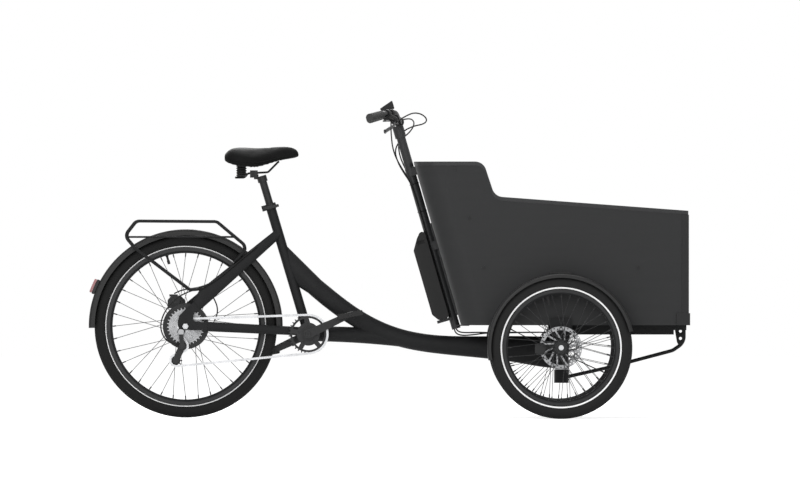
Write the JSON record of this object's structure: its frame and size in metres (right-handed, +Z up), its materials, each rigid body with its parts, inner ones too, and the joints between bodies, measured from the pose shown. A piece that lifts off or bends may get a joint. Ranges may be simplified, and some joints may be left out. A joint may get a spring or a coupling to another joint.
{
  "type": "cargo tricycle",
  "caption": "Front-box electric cargo tricycle with a steered open box, chain drive, hub motor, disc brakes, sprung saddle and rear carrier",
  "frame": {"origin": "on the ground, in the middle of the outer box", "axes": "+X forward, towards the cargo box, +Y left, +Z up"},
  "size_m": [2.1444, 0.83, 1.1321],
  "materials": {
    "tyre": "matt rubber with a pale reflective band",
    "rim": "satin black anodised",
    "spoke": "black coated",
    "hub": "satin black",
    "frame": "satin black powder coat",
    "steel": "bright steel",
    "black_metal": "satin black",
    "black_steel": "satin black powder coat",
    "panel": "dark grey coated multiplex board",
    "trim": "satin dark anodised",
    "plastic": "matt black",
    "lens": "clear red",
    "cover": "black synthetic leather over foam",
    "grip": "matt black",
    "cable": "black sheath"
  },
  "bodies": {
    "rear_frame": {"main_beam": "frame", "seat_tube": "frame", "rear_stays": "frame", "frame_bearings": "steel", "rear_axle": "steel", "rear_mudguard": "plastic", "rear_rack": "black_metal", "tail_light": "lens", "rear_caliper": "black_metal", "derailleur_body": "black_metal", "chain": "steel", "frame_cables": "cable", "seat_collar": "black_metal", "crossing_cables": "cable"},
    "seat": {"seatpost": "black_metal", "saddle_rails": "black_steel", "saddle_cover": "cover", "saddle_elastomers": "plastic"},
    "seat_lever": {"seat_lever": "black_metal"},
    "rear_wheel": {"rear_tyre": "tyre", "rear_rim": "rim", "rear_spokes": "spoke", "rear_hub": "hub"},
    "cassette": {"cassette": "steel"},
    "crankset": {"crank_arm_right": "black_metal", "crank_arm_left": "black_metal", "chainring": "black_steel"},
    "pedal_right": {"pedal_right": "plastic"},
    "pedal_left": {"pedal_left": "plastic"},
    "derailleur_cage": {"derailleur_cage": "black_metal"},
    "guide_pulley": {"guide_pulley": "plastic"},
    "tension_pulley": {"tension_pulley": "plastic"},
    "front_module": {"pivot_shaft": "steel", "front_subframe": "frame", "box_side_right": "panel", "box_side_left": "panel", "box_front": "panel", "box_rear": "panel", "box_floor": "panel", "box_trim": "trim", "box_fasteners": "trim", "steering_column": "frame", "handlebar": "black_metal", "grips": "grip", "cockpit_controls": "plastic", "front_mudguards": "plastic", "front_calipers": "black_metal", "steering_cables": "cable"},
    "front_wheel_right": {"front_right_tyre": "tyre", "front_right_rim": "rim", "front_right_spokes": "spoke", "front_right_hub": "hub"},
    "front_wheel_left": {"front_left_tyre": "tyre", "front_left_rim": "rim", "front_left_spokes": "spoke", "front_left_hub": "hub"},
    "battery": {"battery": "plastic"},
    "brake_lever_right": {"brake_lever_right": "black_metal"},
    "brake_lever_left": {"brake_lever_left": "black_metal"},
    "shifter_lever": {"shifter_lever": "plastic"}
  },
  "joints": [
    {"name": "steering", "type": "hinge", "parent": "rear_frame", "child": "front_module", "pos_m": [0.6187, 0, 0.2325], "axis": [0, 0, 1], "range_deg": [-40, 40], "deforming": ["crossing_cables"]},
    {"name": "front_wheel_right_spin", "type": "hinge", "parent": "front_module", "child": "front_wheel_right", "pos_m": [0.6127, -0.375, 0.253], "axis": [0, 1, 0], "continuous": true},
    {"name": "front_wheel_left_spin", "type": "hinge", "parent": "front_module", "child": "front_wheel_left", "pos_m": [0.6127, 0.375, 0.253], "axis": [0, 1, 0], "continuous": true},
    {"name": "rear_wheel_spin", "type": "hinge", "parent": "rear_frame", "child": "rear_wheel", "pos_m": [-0.7253, 0, 0.3265], "axis": [0, 1, 0], "continuous": true},
    {"name": "crank_spin", "type": "hinge", "parent": "rear_frame", "child": "crankset", "pos_m": [-0.2866, 0, 0.2988], "axis": [0, 1, 0], "continuous": true, "deforming": ["chain"]},
    {"name": "cassette_spin", "type": "hinge", "parent": "rear_frame", "child": "cassette", "pos_m": [-0.7253, -0.056, 0.3265], "axis": [0, 1, 0], "continuous": true},
    {"name": "pedal_right_spin", "type": "hinge", "parent": "crankset", "child": "pedal_right", "pos_m": [-0.13706, -0.129, 0.36853], "axis": [0, 1, 0], "continuous": true},
    {"name": "pedal_left_spin", "type": "hinge", "parent": "crankset", "child": "pedal_left", "pos_m": [-0.43614, 0.129, 0.22907], "axis": [0, 1, 0], "continuous": true},
    {"name": "cage_swing", "type": "hinge", "parent": "rear_frame", "child": "derailleur_cage", "pos_m": [-0.737, -0.056, 0.256], "axis": [0, -1, 0], "range_deg": [-15, 30], "stiffness_Nm_per_rad": 1.5, "deforming": ["chain"]},
    {"name": "guide_pulley_spin", "type": "hinge", "parent": "derailleur_cage", "child": "guide_pulley", "pos_m": [-0.737, -0.056, 0.256], "axis": [0, 1, 0], "continuous": true},
    {"name": "tension_pulley_spin", "type": "hinge", "parent": "derailleur_cage", "child": "tension_pulley", "pos_m": [-0.76001, -0.056, 0.20461], "axis": [0, 1, 0], "continuous": true},
    {"name": "seat_height", "type": "slide", "parent": "rear_frame", "child": "seat", "axis": [-0.2857, 0, 0.9583], "range_m": [-0.08, 0.08]},
    {"name": "seat_lever_swing", "type": "hinge", "parent": "rear_frame", "child": "seat_lever", "pos_m": [-0.44703, -0.029, 0.74768], "axis": [0.2857, 0, -0.9583], "range_deg": [0, 170]},
    {"name": "battery_slide", "type": "slide", "parent": "front_module", "child": "battery", "axis": [-0.2789, 0, 0.9603], "range_m": [0, 0.06]},
    {"name": "brake_lever_right_pull", "type": "hinge", "parent": "front_module", "child": "brake_lever_right", "pos_m": [0.02556, -0.18279, 1.059], "axis": [-0.6904, 0.3941, -0.6067], "range_deg": [0, 18], "stiffness_Nm_per_rad": 3, "springref_deg": -5.73},
    {"name": "brake_lever_left_pull", "type": "hinge", "parent": "front_module", "child": "brake_lever_left", "pos_m": [0.02556, 0.18279, 1.059], "axis": [0.6904, 0.3941, 0.6067], "range_deg": [0, 18], "stiffness_Nm_per_rad": 3, "springref_deg": -5.73},
    {"name": "shifter_lever_push", "type": "hinge", "parent": "front_module", "child": "shifter_lever", "pos_m": [0.01567, -0.15623, 1.06083], "axis": [0, 0, 1], "range_deg": [-25, 25], "stiffness_Nm_per_rad": 0.5}
  ],
  "couplings": [
    {"joint": "cassette_spin", "follows": "crank_spin", "ratio": 2.6154},
    {"joint": "guide_pulley_spin", "follows": "crank_spin", "ratio": -3.4},
    {"joint": "tension_pulley_spin", "follows": "crank_spin", "ratio": 3.4}
  ]
}
